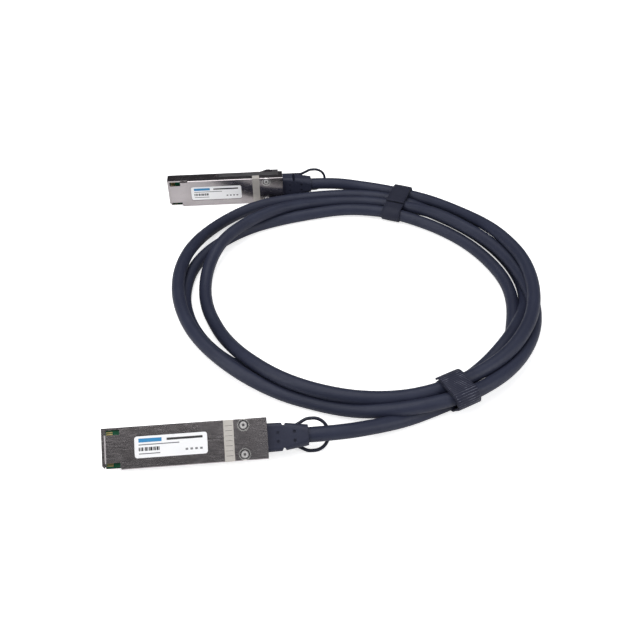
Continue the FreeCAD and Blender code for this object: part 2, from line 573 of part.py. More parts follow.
def make_springs():
    """Two compression springs of square wire, wound in short flats."""
    start = BRIDGE_START + TAB_THICKNESS + SPRING_WIRE
    height = SPRING_LENGTH - 2 * SPRING_WIRE
    coil_radius = (SPRING_DIAMETER - SPRING_WIRE) / 2
    count = round(SPRING_FLATS * SPRING_TURNS)
    turns = []
    for i in range(count + 1):
        a = 2 * math.pi * i / SPRING_FLATS
        turns.append(vec(coil_radius * math.cos(a), coil_radius * math.sin(a), height * i / count))
    half = SPRING_WIRE / 2
    corners = [vec(coil_radius + a * half, 0, b * half) for a, b in ((-1, -1), (1, -1), (1, 1), (-1, 1))]
    section = Part.makePolygon(corners + corners[:1])
    spring = Part.makePolygon(turns).makePipeShell([section], True, True, 1)
    spring.rotate(vec(0, 0, 0), vec(0, 1, 0), 90)
    spring.translate(vec(start, SPRING_PLACE, BRIDGE_TOP + SLIDER_GAP + SPRING_DIAMETER / 2))
    return pair_of(spring)


def make_pull_loop():
    """Moulded pull: two pads on the slider's bridge and a loop round behind the cable."""
    x0 = BRIDGE_START + BRIDGE_LENGTH - LOOP_PAD_LENGTH
    x_end = BOOT_END + LOOP_REACH - LOOP_WIRE / 2
    root = LOOP_ROOT / 2
    wide = LOOP_WIDTH / 2
    parting = PLUG_LENGTH + LOOP_SPREAD_START
    parted = parting + LOOP_SPREAD_LENGTH
    leg = [vec(x0 + 1.0, root, LOOP_Z), vec(parting, root, LOOP_Z), vec(parted, wide, LOOP_Z),
           vec(x_end, wide, LOOP_Z)]
    points = leg + [vec(p.x, -p.y, p.z) for p in reversed(leg)]
    radii = [LOOP_LEG_BEND, LOOP_LEG_BEND, LOOP_END_ROUND]
    loop = tube(arc_path(points, radii + radii[::-1]), LOOP_WIRE / 2)
    pad_face = REAR_BACK + SLIDER_GAP
    over_bridge = box(x0 - 5, BRIDGE_START + BRIDGE_LENGTH, -HALF, HALF, pad_face, 0)
    pad = box(x0, x0 + LOOP_PAD_LENGTH, root - LOOP_PAD_WIDTH / 2, root + LOOP_PAD_WIDTH / 2,
              pad_face - LOOP_PAD_THICKNESS, pad_face)
    return loop.cut(over_bridge).fuse(both_sides(pad)).removeSplitter()


PLUG_PIECES = [("base_shell", make_base_shell), ("cover", make_cover), ("emi_gasket", make_gasket),
               ("paddle_card", make_card), ("edge_contacts", make_contacts), ("memory_chip", make_chip),
               ("capacitors", make_capacitors), ("wire_pairs", make_wire_pairs),
               ("shield_ferrule", make_ferrule), ("cable_end", make_cable_end), ("boot", make_boot),
               ("cover_screws", make_screws), ("label", make_label), ("latch_slider", make_slider),
               ("slider_springs", make_springs), ("pull_loop", make_pull_loop)]


# ---- placing the two connectors ------------------------------------------------------------------

def plug_placement(shapes, nose, turn, tip):
    """Tip the connector about its own length, turn it on the floor and set it down on its lowest point."""
    rotation = FreeCAD.Rotation(vec(0, 0, 1), turn).multiply(FreeCAD.Rotation(vec(1, 0, 0), tip))
    lowest = 0
    for shape in shapes:
        turned = shape.copy()
        turned.Placement = FreeCAD.Placement(vec(0, 0, 0), rotation)
        lowest = min(lowest, turned.optimalBoundingBox(False).ZMin)
    return FreeCAD.Placement(vec(nose[0], nose[1], -lowest), rotation)


# ---- cable ---------------------------------------------------------------------------------------

def cord_points(placement, route):
    """From a boot's end straight out, then through the route's points."""
    exit_point = placement.multVec(vec(BOOT_END, 0, CABLE_Z))
    ahead = placement.multVec(vec(BOOT_END + EXIT_STRAIGHT, 0, CABLE_Z))
    return [exit_point, ahead] + [vec(*p) for p in route]


def cord_tube(points):
    """A stretch of cable from a boot to the coil."""
    radii = cord_radii(points)
    path = arc_path(points, radii)
    shape = tube(path, CABLE_RADIUS)
    expected = math.pi * CABLE_RADIUS ** 2 * path.Length
    print("points", [tuple(round(v, 2) for v in p) for p in points])
    print("radii", [round(r, 1) for r in radii], "length", round(path.Length, 1))
    print("volume", round(shape.Volume, 1), "expected", round(expected, 1))
    return shape


def polar(angle, radius, z=0.0):
    a = math.radians(angle)
    return vec(COIL_CENTRE[0] + radius * math.cos(a), COIL_CENTRE[1] + radius * math.sin(a), z)


def closed_curve(places):
    curve = Part.BSplineCurve()
    curve.interpolate([polar(a, r) for a, r in places], PeriodicFlag=True)
    return Part.Wire(curve.toShape())


def roof(heights, y0, y1):
    """Everything under a line of heights along x, between two y positions."""
    cx, cy = COIL_CENTRE
    line = [vec(cx + x, cy + y0, h) for x, h in heights]
    corners = [vec(line[0].x, cy + y0, 0)] + line + [vec(line[-1].x, cy + y0, 0)]
    return Part.Face(Part.makePolygon(corners + corners[:1])).extrude(vec(0, y1 - y0, 0))


def lane_step(points):
    """The room that a tail needs before it enters the coil, ended square across its last run."""
    ahead = (points[-1] - points[-2]).normalize()
    turn = math.degrees(math.atan2(ahead.y, ahead.x))
    block = box(-60, 0, -20, 20, -1, COIL_TALL + 1)
    block.rotate(vec(0, 0, 0), vec(0, 0, 1), turn)
    block.translate(vec(points[-1].x, points[-1].y, 0))
    return block


def make_coil(far_points, near_points):
    """Outer shape of the coil: fanned out at the left, flat under the back tie, bunched at the front tie."""
    outer = Part.Face(closed_curve(COIL_OUTER))
    inner = Part.Face(closed_curve(COIL_INNER))
    lane_curve = Part.BSplineCurve()
    lane_curve.interpolate([polar(a, r) for a, r in COIL_LANE])
    first = COIL_LANE[0][0]
    last = COIL_LANE[-1][0]
    root = Part.Arc(polar(last, LANE_ROOT), polar((first + last) / 2, LANE_ROOT), polar(first, LANE_ROOT))
    lane = Part.Face(Part.Wire([lane_curve.toShape(),
                                Part.LineSegment(polar(*COIL_LANE[-1]), polar(last, LANE_ROOT)).toShape(),
                                root.toShape(),
                                Part.LineSegment(polar(first, LANE_ROOT), polar(*COIL_LANE[0])).toShape()]))
    up = vec(0, 0, COIL_TALL)
    lane = lane.extrude(up).cut(lane_step(far_points)).cut(lane_step(near_points))
    ring = outer.extrude(up).fuse(lane).cut(inner.extrude(up))
    ring = ring.common(roof(FAR_HEIGHTS, 0, 115).fuse(roof(NEAR_HEIGHTS, -115, 0)))
    for angle in (BACK_TIE_ANGLE, FRONT_TIE_ANGLE):
        ring = ring.cut(tie_block(angle, 60, 120, -1, TIE_THICKNESS + TIE_GAP, TIE_WIDTH + 2 * TIE_GAP))
    return ring.removeSplitter()


def tie_block(angle, r0, r1, z0, z1, width):
    """A box across the coil at an angle, between two radii and two heights."""
    block = box(r0, r1, -width / 2, width / 2, z0, z1)
    block.rotate(vec(0, 0, 0), vec(0, 0, 1), angle)
    block.translate(vec(COIL_CENTRE[0], COIL_CENTRE[1], 0))
    return block


def make_tie(angle, edges, top):
    """A hook-and-loop tie as a closed band round the coil, with room inside."""
    spread = TIE_GAP + TIE_THICKNESS
    outer = box(edges[0] - spread, edges[1] + spread, -TIE_WIDTH / 2, TIE_WIDTH / 2, 0, top + spread)
    along = [e for e in outer.Edges if e.BoundBox.YLength > TIE_WIDTH - 0.1]
    outer = outer.makeFillet(TIE_ROUND, along)
    inner = box(edges[0] - TIE_GAP, edges[1] + TIE_GAP, -TIE_WIDTH, TIE_WIDTH, TIE_THICKNESS, top + TIE_GAP)
    along = [e for e in inner.Edges if e.BoundBox.YLength > TIE_WIDTH - 0.1]
    inner = inner.makeFillet(TIE_ROUND - TIE_THICKNESS, along)
    band = outer.cut(inner)
    band.rotate(vec(0, 0, 0), vec(0, 0, 1), angle)
    band.translate(vec(COIL_CENTRE[0], COIL_CENTRE[1], 0))
    return band


def save(name, shape):
    shape.exportStep("parts/" + name + ".step")


def main():
    os.makedirs("parts", exist_ok=True)
    pieces = {name: make() for name, make in PLUG_PIECES}
    far = plug_placement(pieces.values(), FAR_NOSE, FAR_TURN, FAR_TIP)
    near = plug_placement(pieces.values(), NEAR_NOSE, NEAR_TURN, NEAR_TIP)
    for name, piece in pieces.items():
        for prefix, placement in (("far", far), ("near", near)):
            placed = piece.copy()
            placed.Placement = placement
            save(prefix + "_" + name, placed)
    far_points = cord_points(far, FAR_ROUTE)
    near_points = cord_points(near, NEAR_ROUTE)
    save("cable_far_tail", cord_tube(far_points))
    save("cable_near_tail", cord_tube(near_points))
    save("cable_coil", make_coil(far_points, near_points))
    save("tie_back", make_tie(BACK_TIE_ANGLE, BACK_TIE_EDGES, BACK_TIE_TOP))
    save("tie_front", make_tie(FRONT_TIE_ANGLE, FRONT_TIE_EDGES, FRONT_TIE_TOP))


main()
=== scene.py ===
import json
import math
import bpy
from mathutils import Matrix, Vector


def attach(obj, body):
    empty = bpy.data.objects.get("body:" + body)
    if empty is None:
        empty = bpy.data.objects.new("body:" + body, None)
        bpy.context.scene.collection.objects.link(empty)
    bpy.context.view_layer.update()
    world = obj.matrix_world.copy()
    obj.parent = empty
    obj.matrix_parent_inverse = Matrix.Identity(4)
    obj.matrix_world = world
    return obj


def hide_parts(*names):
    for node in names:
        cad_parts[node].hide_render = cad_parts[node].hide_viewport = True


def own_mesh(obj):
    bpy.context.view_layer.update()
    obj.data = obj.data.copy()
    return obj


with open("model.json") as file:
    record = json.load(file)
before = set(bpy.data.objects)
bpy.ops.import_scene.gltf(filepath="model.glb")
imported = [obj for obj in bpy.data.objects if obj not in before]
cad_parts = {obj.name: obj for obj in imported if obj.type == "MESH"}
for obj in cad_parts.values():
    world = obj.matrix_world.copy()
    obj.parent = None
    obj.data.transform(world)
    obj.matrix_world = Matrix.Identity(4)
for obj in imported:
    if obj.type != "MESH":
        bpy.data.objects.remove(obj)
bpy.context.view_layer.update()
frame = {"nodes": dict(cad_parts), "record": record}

record = frame["record"]
mm = 0.001

# ---- sizes, in metres unless said -----------------------------------------------------------------
SIDES = ("far", "near")
CABLE = 0.007               # cable's diameter

# the connectors: x from the nose to the back, z out of the label face
TIPS = {"far": 90.0, "near": 41.0}  # degrees that each one leans back
PLUG_MID = 0.00425          # nose mount below the label face
SCREW_X = 0.0620
SCREW_Y = 0.0064            # screws off the middle line
SCREW_TOP = 0.00025
LABEL_DEPTH = 0.00006       # label's surface below the cover's face
INK = 0.00001               # print above the label

# the label's print, in mm
PRINT_LEFT = 16.2
CODE_BOTTOM, CODE_TOP = -1.75, -0.15
CODE_UNIT = 0.16            # narrowest bar or gap
MARK_LEFT, MARK_PITCH, MARK_WIDTH = 36.4, 2.1, 1.1

# the springs behind the slider, in mm apart from the wire
SPRING_SIDE = 6.6           # off the middle line
SPRING_START = 65.9
SPRING_LENGTH = 4.0
SPRING_DEPTH = 8.7          # below the label face
SPRING_RADIUS = 0.9         # to the wire's middle
SPRING_TURNS = 3.5
SPRING_STEPS = 14           # points in one turn
SPRING_WIRE = 0.00019       # wire's radius

# the coil
COIL_X = 0.0642
COIL_Y = 0.0123
COIL_START = 22.5           # degrees from the back, where the coil follows the far tail
STEPS = 48                  # control points in one turn

# the ties
TIE_THICK = 0.0011
TIE_PARTS = 150             # sections along a tape
BAND_PARTS = 180            # directions in which a band round the strands is sampled
TIE_CLIMB = 0.008           # length in which a tape climbs onto its own start
TIE_TIP = 0.007             # length of the tip that lifts off
TIE_LIFT = 1.08             # height of the second layer, in thicknesses

# ---- camera ---------------------------------------------------------------------------------------
LOOK_DOWN = 41.8            # degrees below the horizon

camera_data = bpy.data.cameras.new("camera")
camera_data.lens = 45.0
camera_data.sensor_width = 36.0
camera_data.clip_start = 0.01
camera = bpy.data.objects.new("camera", camera_data)
camera.location = (0.0459, -0.3327, 0.2876)
camera.rotation_euler = (math.radians(90.0 - LOOK_DOWN), 0.0, 0.0)
bpy.context.collection.objects.link(camera)
bpy.context.scene.camera = camera

# ---- the cable's way ------------------------------------------------------------------------------
# the points between each boot and the coil, the same as in the CAD model
far_route = [(0.03992, 0.1106, 0.00917), (0.05487, 0.11183, 0.00917), (0.0719, 0.1119, 0.0065),
             (0.0860, 0.1080, 0.0065)]
near_route = [(0.1012, -0.0780, 0.0036), (0.0865, -0.0850, 0.0036), (0.0719, -0.0918, 0.0068),
              (0.05557, -0.09777, 0.0097), (0.04064, -0.09919, 0.0097)]
# the coil, clockwise from the back: angle in degrees, radius and height in mm
coil_keys = [
    # out of the back tie and up over everything at the right
    (20, 98.0, 5.6), (28, 96.6, 6.8), (36, 94.6, 8.2), (48, 92.6, 10.6), (58, 91.8, 13.4), (68, 92.0, 15.6),
    (84, 94.8, 16.6), (99, 96.4, 16.7), (115, 97.8, 16.4), (128, 97.6, 15.2), (138, 96.2, 13.4),
    (147, 94.3, 12.2), (155, 93.4, 11.6),
    # on top along the front, then the innermost turn at the left
    (166, 91.9, 10.6), (180, 89.6, 10.5), (194, 86.9, 10.4), (206, 85.3, 10.5), (216, 83.6, 10.2),
    (226, 81.8, 8.4), (236, 80.2, 5.6), (246, 79.8, 3.8), (258, 81.0, 3.6), (270, 82.2, 4.0), (282, 83.0, 6.8),
    (292, 82.9, 9.6), (302, 82.3, 10.4), (313, 81.4, 10.5), (326, 81.2, 9.8), (340, 82.3, 7.2),
    # third place in the back tie, then out from under the top turn
    (352, 83.4, 5.2), (366, 84.2, 5.0), (378, 84.6, 5.0), (388, 83.8, 6.8), (398, 82.6, 9.4), (410, 83.0, 10.3),
    (422, 85.6, 10.4), (434, 89.0, 10.4), (446, 92.4, 10.3), (456, 95.7, 10.0), (464, 98.4, 9.8),
    (474, 100.6, 9.8), (486, 102.0, 9.8), (498, 102.4, 10.2), (507, 102.0, 11.0),
    # off the front tie and the outermost turn at the left
    (517, 100.4, 11.2), (530, 97.2, 8.8), (543, 92.6, 5.0), (556, 89.2, 3.8), (566, 89.3, 4.6), (576, 90.7, 7.2),
    (586, 92.3, 9.6), (598, 93.6, 10.5), (612, 94.8, 10.5), (628, 96.2, 10.5), (640, 97.0, 9.9),
    (652, 98.3, 7.4), (664, 100.0, 4.4), (676, 100.2, 3.6), (688, 98.4, 3.6), (698, 95.2, 3.8), (708, 92.4, 4.4),
    # second place in the back tie, low at the right, and over the last turn
    (718, 91.4, 5.0), (728, 91.4, 5.0), (738, 91.4, 5.0), (748, 90.4, 4.0), (758, 89.4, 3.6), (772, 90.2, 3.6),
    (788, 92.2, 3.6), (800, 93.8, 3.6), (812, 94.8, 3.6), (820, 94.2, 4.6), (828, 92.6, 7.8), (836, 91.6, 10.2),
    (844, 91.2, 10.2), (852, 90.6, 8.2), (860, 90.2, 5.6),
    # low along the front and the left
    (867, 90.0, 5.0), (878, 89.2, 4.4), (892, 86.0, 3.6), (908, 82.6, 3.6), (920, 81.6, 3.6), (932, 83.2, 3.6),
    (944, 86.6, 3.6), (956, 89.4, 3.6), (970, 91.6, 3.6), (984, 93.0, 3.6), (996, 92.8, 3.6), (1008, 91.0, 3.6),
    (1020, 87.4, 3.6), (1034, 82.6, 3.6), (1048, 77.9, 3.6), (1064, 75.1, 4.0),
    # innermost place in the back tie, then out beneath the others to the near connector
    (1082, 75.0, 5.0), (1098, 75.5, 5.0), (1110, 76.3, 4.2), (1125, 78.1, 3.6), (1143, 80.9, 3.6),
    (1156, 83.5, 3.6), (1168, 86.3, 3.6), (1180, 87.8, 3.6), (1189, 88.6, 3.6), (1197, 90.8, 3.6),
    (1205, 94.8, 3.6), (1213, 97.7, 3.8), (1221, 99.0, 4.4), (1229, 98.0, 5.0)]


def eased(keys, at, column):
    """Smooth value between the keys, without overshoot."""
    i = 0
    while i < len(keys) - 2 and keys[i + 1][0] < at:
        i += 1

    def rise(j):
        return (keys[j + 1][column] - keys[j][column]) / (keys[j + 1][0] - keys[j][0])

    def slope(j):
        if j == 0 or j == len(keys) - 1:
            return rise(min(j, len(keys) - 2))
        before, after = rise(j - 1), rise(j)
        if before * after <= 0:
            return 0.0
        return 2 * before * after / (before + after)

    a0, v0 = keys[i][0], keys[i][column]
    a1, v1 = keys[i + 1][0], keys[i + 1][column]
    t = min(max((at - a0) / (a1 - a0), 0.0), 1.0)
    h = a1 - a0
    return ((2 * t ** 3 - 3 * t ** 2 + 1) * v0 + (t ** 3 - 2 * t ** 2 + t) * h * slope(i)
            + (3 * t ** 2 - 2 * t ** 3) * v1 + (t ** 3 - t ** 2) * h * slope(i + 1))


def coil_point(turned, outward=1.0):
    """Place on the coil after so many degrees from the back."""
    radius = eased(coil_keys, turned, 1) * mm * outward
    a = math.radians(90.0 - turned)
    return (COIL_X + radius * math.cos(a), COIL_Y + radius * math.sin(a), eased(coil_keys, turned, 2) * mm)


route = list(far_route)
step = 360.0 / STEPS
# the spline touches its polygon's sides in their middles, so the points lie a little further out
turned = COIL_START
while turned < coil_keys[-1][0] + 1.0:
    route.append(coil_point(turned, 1.0 / math.cos(math.radians(step / 2))))
    turned += step
route += near_route

curve = bpy.data.curves.new("cable", "CURVE")
curve.dimensions = "3D"
spline = curve.splines.new("NURBS")
spline.points.add(len(route) - 1)
for point, place in zip(spline.points, route):
    point.co = (*place, 1.0)
spline.order_u = 3
spline.use_endpoint_u = True
spline.resolution_u = 6
curve.bevel_depth = CABLE / 2
curve.bevel_resolution = 7
cable = bpy.data.objects.new("cable", curve)
bpy.context.collection.objects.link(cable)


def plug_frame(side):
    """Where a connector lies: x along it from its nose, z out of its label face."""
    mount = next(m for m in record["mounts"] if m["name"] == side + "_plug_nose")
    ahead = -Vector(mount["axis"])
    turn = math.atan2(ahead.y, ahead.x)
    rotation = Matrix.Rotation(turn, 4, "Z") @ Matrix.Rotation(math.radians(TIPS[side]), 4, "X")
    origin = Vector(mount["pos_m"]) + rotation @ Vector((0, 0, PLUG_MID))
    return Matrix.Translation(origin) @ rotation


# ---- materials ------------------------------------------------------------------------------------

class Nodes:
    """A new material and the means to add and link its shader nodes."""

    def __init__(self, name):
        self.material = bpy.data.materials.new(name)
        self.material.use_nodes = True
        self.tree = self.material.node_tree
        self.bsdf = self.tree.nodes["Principled BSDF"]
        self.place = self.tree.nodes.new("ShaderNodeTexCoord").outputs["Object"]

    def set(self, **values):
        """Values or sockets for the main shader's inputs."""
        for key, value in values.items():
            self.put(self.bsdf.inputs[key.replace("_", " ")], value)

    def put(self, socket, value):
        if isinstance(value, bpy.types.NodeSocket):
            self.tree.links.new(value, socket)
        else:
            socket.default_value = value

    def stretched(self, sx, sy, sz):
        node = self.tree.nodes.new("ShaderNodeMapping")
        self.put(node.inputs["Vector"], self.place)
        node.inputs["Scale"].default_value = (sx, sy, sz)
        return node.outputs["Vector"]

    def noise(self, scale, detail=4.0, source=None):
        node = self.tree.nodes.new("ShaderNodeTexNoise")
        self.put(node.inputs["Vector"], source or self.place)
        node.inputs["Scale"].default_value = scale
        node.inputs["Detail"].default_value = detail
        node.inputs["Roughness"].default_value = 0.55
        return node.outputs["Fac"]

    def span(self, value, low, high, start=0.3, end=0.7):
        """The value's range from start to end, mapped to low and high."""
        node = self.tree.nodes.new("ShaderNodeMapRange")
        self.put(node.inputs["Value"], value)
        node.inputs["From Min"].default_value = start
        node.inputs["From Max"].default_value = end
        node.inputs["To Min"].default_value = low
        node.inputs["To Max"].default_value = high
        return node.outputs["Result"]

    def mixed(self, factor, one, two):
        node = self.tree.nodes.new("ShaderNodeMix")
        node.data_type = "RGBA"
        self.put(node.inputs["Factor"], factor)
        self.put(node.inputs["A"], one if isinstance(one, bpy.types.NodeSocket) else (*one, 1.0))
        self.put(node.inputs["B"], two if isinstance(two, bpy.types.NodeSocket) else (*two, 1.0))
        return node.outputs["Result"]

    def maths(self, operation, one, two=0.0):
        node = self.tree.nodes.new("ShaderNodeMath")
        node.operation = operation
        self.put(node.inputs[0], one)
        self.put(node.inputs[1], two)
        return node.outputs["Value"]

    def bump(self, height, strength, distance):
        node = self.tree.nodes.new("ShaderNodeBump")
        self.put(node.inputs["Height"], height)
        node.inputs["Strength"].default_value = strength
        node.inputs["Distance"].default_value = distance
        self.tree.links.new(node.outputs["Normal"], self.bsdf.inputs["Normal"])

    def distance(self, centres):
        """Metres from the nearest of some places."""
        nearest = None
        for centre in centres:
            node = self.tree.nodes.new("ShaderNodeVectorMath")
            node.operation = "DISTANCE"
            self.put(node.inputs[0], self.place)
            node.inputs[1].default_value = tuple(centre)
            one = node.outputs["Value"]
            nearest = one if nearest is None else self.maths("MINIMUM", nearest, one)
        return nearest

    def ring(self, distance, inner, outer):
        """High between two distances, in metres."""
        blur = 0.00012
        return self.maths(
            "MULTIPLY",
            self.span(distance, 0.0, 1.0, inner - blur, inner + blur),
            self.span(distance, 1.0, 0.0, outer - blur, outer + blur))

    def repaint(self, factor, colour):
        """Another colour where the factor is high."""
        socket = self.bsdf.inputs["Base Color"]
        before = socket.links[0].from_socket
        self.tree.links.new(self.mixed(factor, before, colour), socket)

    def lit_and_worn_edges(self):
        """High along convex edges, the mask for wear and for a painted edge highlight."""
        node = self.tree.nodes.new("ShaderNodeNewGeometry")
        return self.span(node.outputs["Pointiness"], 0.0, 1.0, 0.52, 0.6)


def brushed_metal(name, light, dark, rough, grain=900.0, bump=0.05, worn=0.12, metallic=1.0, screws=(), rings=()):
    """Plated or rolled metal with fine grain along the connector's length, and rings of painted shade and highlight
    round its screws.
    """
    n = Nodes(name)
    lines = n.noise(1.0, 3.0, n.stretched(grain * 0.2, grain * 2.4, grain * 2.4))
    cloud = n.noise(90.0, 3.0)
    speck = n.noise(2600.0, 2.0)
    colour = n.mixed(n.span(cloud, 0.0, 1.0), dark, light)
    colour = n.mixed(n.span(speck, 0.0, 0.12), colour, tuple(c * 0.7 for c in dark))
    polish_and_highlight = tuple(min(c * 1.5, 1.0) for c in light)
    # lighter convex edges: partly wear, partly a painted edge highlight
    colour = n.mixed(n.maths("MULTIPLY", n.lit_and_worn_edges(), worn), colour, polish_and_highlight)
    n.set(Base_Color=colour, Metallic=metallic, Roughness=n.span(lines, rough - 0.04, rough + 0.05))
    # painted shade and highlight: each ring repaints the metal round the screws, darker in the recesses and lighter
    # on the rims
    for inner, outer, painted_ring_tone in rings:
        n.repaint(n.ring(n.distance(screws), inner, outer), painted_ring_tone)
    n.bump(lines, bump, 0.00001)
    return n.material


def moulded(name, colour, rough, grain=1400.0, bump=0.1, tint=(1.25, 1.25, 1.2), gloss=0.35):
    """Moulded or extruded plastic with a fine surface grain."""
    n = Nodes(name)
    fine = n.noise(grain, 3.0)
    cloud = n.noise(70.0, 3.0)
    lighter = tuple(c * t for c, t in zip(colour, tint))
    n.set(Base_Color=n.mixed(n.span(cloud, 0.0, 1.0), colour, lighter),
          Roughness=n.span(fine, rough - 0.06, rough + 0.08), Specular_IOR_Level=gloss)
    n.bump(fine, bump, 0.00004)
    return n.material


NICKEL_LIGHT, NICKEL_DARK = (0.475, 0.44, 0.45), (0.41, 0.38, 0.385)
# rings of painted shade and highlight round a screw's middle, as inner and outer radius and colour
# on the heads: painted shade in the drive and round the head's rim
HEAD_SHADE_RINGS = [(-0.001, 0.00065, (0.16, 0.15, 0.16)), (0.00145, 0.0019, (0.30, 0.29, 0.30))]
# on the covers: painted shade in the ring recess and a painted highlight on the countersink's rim
COVER_SHADE_AND_HIGHLIGHT_RINGS = [(0.0005, 0.00225, (0.06, 0.055, 0.06)), (0.00225, 0.00275, (0.95, 0.93, 0.90))]

shell_metal = brushed_metal("nickel_plate", NICKEL_LIGHT, NICKEL_DARK, 0.23, bump=0.04)
screw_metal, cover_metal = {}, {}
for side in SIDES:
    screws = [plug_frame(side) @ Vector((SCREW_X, y, SCREW_TOP)) for y in (-SCREW_Y, SCREW_Y)]
    screw_metal[side] = brushed_metal(
        side + "_screw_steel", (0.93, 0.91, 0.88), (0.80, 0.78, 0.76), 0.30, grain=1500.0, worn=0.5,
        metallic=0.7, screws=screws, rings=HEAD_SHADE_RINGS)
    cover_metal[side] = brushed_metal(
        side + "_cover_plate", NICKEL_LIGHT, NICKEL_DARK, 0.23, bump=0.04, screws=screws, rings=COVER_SHADE_AND_HIGHLIGHT_RINGS)
gasket_metal = brushed_metal(
    "gasket_strip", (0.60, 0.57, 0.53), (0.53, 0.50, 0.465), 0.5, grain=700.0, metallic=0.45)
latch_metal = brushed_metal("latch_sheet", (0.42, 0.41, 0.42), (0.34, 0.33, 0.34), 0.34)
ferrule_metal = brushed_metal("ferrule_tin", (0.66, 0.62, 0.52), (0.52, 0.48, 0.40), 0.42)
spring_metal = brushed_metal("spring_wire", (0.62, 0.6, 0.58), (0.5, 0.48, 0.46), 0.28, 1200.0, 0.05)
gold = brushed_metal("gold_pads", (0.92, 0.72, 0.34), (0.82, 0.60, 0.25), 0.3, 1500.0, 0.05, 0.1)
jacket = moulded("cable_jacket", (0.0205, 0.0240, 0.0460), 0.50, 900.0, 0.06, gloss=0.28)
boot_rubber = moulded("boot_rubber", (0.020, 0.0225, 0.042), 0.52, 1600.0, 0.14)
loop_plastic = moulded("pull_loop_plastic", (0.014, 0.016, 0.030), 0.40, 1600.0, 0.05)
board_mask = moulded("board_mask", (0.010, 0.085, 0.048), 0.35, 2200.0, 0.05, (0.7, 1.5, 1.2))
chip_resin = moulded("chip_resin", (0.012, 0.012, 0.013), 0.55, 3000.0, 0.1)
capacitor_body = moulded("capacitor_body", (0.30, 0.20, 0.12), 0.45, 3000.0, 0.05)
pair_foil = brushed_metal("pair_foil", (0.55, 0.58, 0.66), (0.40, 0.43, 0.52), 0.35, 1500.0, 0.1)
label_film = moulded("label_film", (0.90, 0.90, 0.91), 0.42, 2500.0, 0.03, (1.03, 1.03, 1.03))


def printed(name, colour):
    """Ink, a little patchy."""
    n = Nodes(name)
    grit = n.noise(5200.0, 2.0)
    worn = tuple(min(c * 1.6 + 0.03, 1.0) for c in colour)
    n.set(Base_Color=n.mixed(n.span(grit, 0.0, 0.5), colour, worn), Roughness=n.span(grit, 0.38, 0.5))
    n.bump(grit, 0.04, 0.00001)
    return n.material


blue_print = printed("print_blue", (0.02, 0.20, 0.42))
dark_print = printed("print_dark", (0.02, 0.02, 0.022))
grey_print = printed("print_grey", (0.16, 0.16, 0.17))


def tape(name, colour, glint, rib, strength):
    """Tape with fine ribs of crossing threads, their knots lightened towards a glint colour as a painted highlight;
    the UV map holds metres along and across it.
    """
    n = Nodes(name)
    uv = n.tree.nodes.new("ShaderNodeUVMap")
    uv.uv_map = "tape"
    split = n.tree.nodes.new("ShaderNodeSeparateXYZ")
    n.put(split.inputs["Vector"], uv.outputs["UV"])
    turn = 2 * math.pi / rib
    along = n.maths("SINE", n.maths("MULTIPLY", split.outputs["X"], turn))
    across = n.maths("SINE", n.maths("MULTIPLY", split.outputs["Y"], turn * 1.3))
    knots = n.maths("MULTIPLY", along, n.maths("ADD", n.maths("MULTIPLY", across, 0.45), 0.55))
    fuzz = n.noise(3800.0, 4.0)
    high = n.maths("ADD", knots, n.maths("MULTIPLY", fuzz, 0.7))
    patch = n.span(n.noise(260.0, 2.0), 0.15, 1.0, 0.42, 0.62)
    # painted highlight: the thread knots are lightened towards the glint colour
    shine = n.maths("MULTIPLY", n.span(high, 0.0, 1.0, 0.75, 1.35), patch)
    n.set(Base_Color=n.mixed(shine, colour, glint), Roughness=n.span(fuzz, 0.52, 0.72),
          Specular_IOR_Level=0.25, Sheen_Weight=0.05, Sheen_Roughness=0.4)
    n.bump(high, strength, 0.00012)
    return n.material


# the glint colours are painted highlights on the thread knots
smooth_tape = tape("smooth_tape", (0.016, 0.018, 0.034), (0.03, 0.033, 0.055), 0.0007, 0.2)
woven_tape = tape("woven_tape", (0.016, 0.018, 0.036), (0.32, 0.33, 0.40), 0.00088, 0.35)

node_materials = {
    "base_shell": shell_metal, "cover": cover_metal, "emi_gasket": gasket_metal, "paddle_card": board_mask,
    "edge_contacts": gold, "memory_chip": chip_resin, "capacitors": capacitor_body, "wire_pairs": pair_foil,
    "shield_ferrule": ferrule_metal, "cable_end": jacket, "boot": boot_rubber, "cover_screws": screw_metal,
    "label": label_film, "latch_slider": latch_metal, "pull_loop": loop_plastic}
for side in SIDES:
    for name, material in node_materials.items():
        node = frame["nodes"][side + "_" + name]
        node.data.materials.clear()
        node.data.materials.append(material[side] if isinstance(material, dict) else material)

curve.materials.append(jacket)
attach(cable, "assembly")
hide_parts("cable_far_tail", "cable_coil", "cable_near_tail")


# ---- helpers for new pieces -----------------------------------------------------------------------

def add_mesh(name, vertices, faces, materials, indices=None, smooth=False):
    mesh = bpy.data.meshes.new(name)
    mesh.from_pydata(vertices, [], faces)
    for material in materials:
        mesh.materials.append(material)
    for polygon in mesh.polygons:
        polygon.use_smooth = smooth
        if indices:
            polygon.material_index = indices[polygon.index]
    mesh.validate()
    thing = bpy.data.objects.new(name, mesh)
    bpy.context.collection.objects.link(thing)
    return thing


# ---- label print: plain bars and fields -------------------------------------------------------------

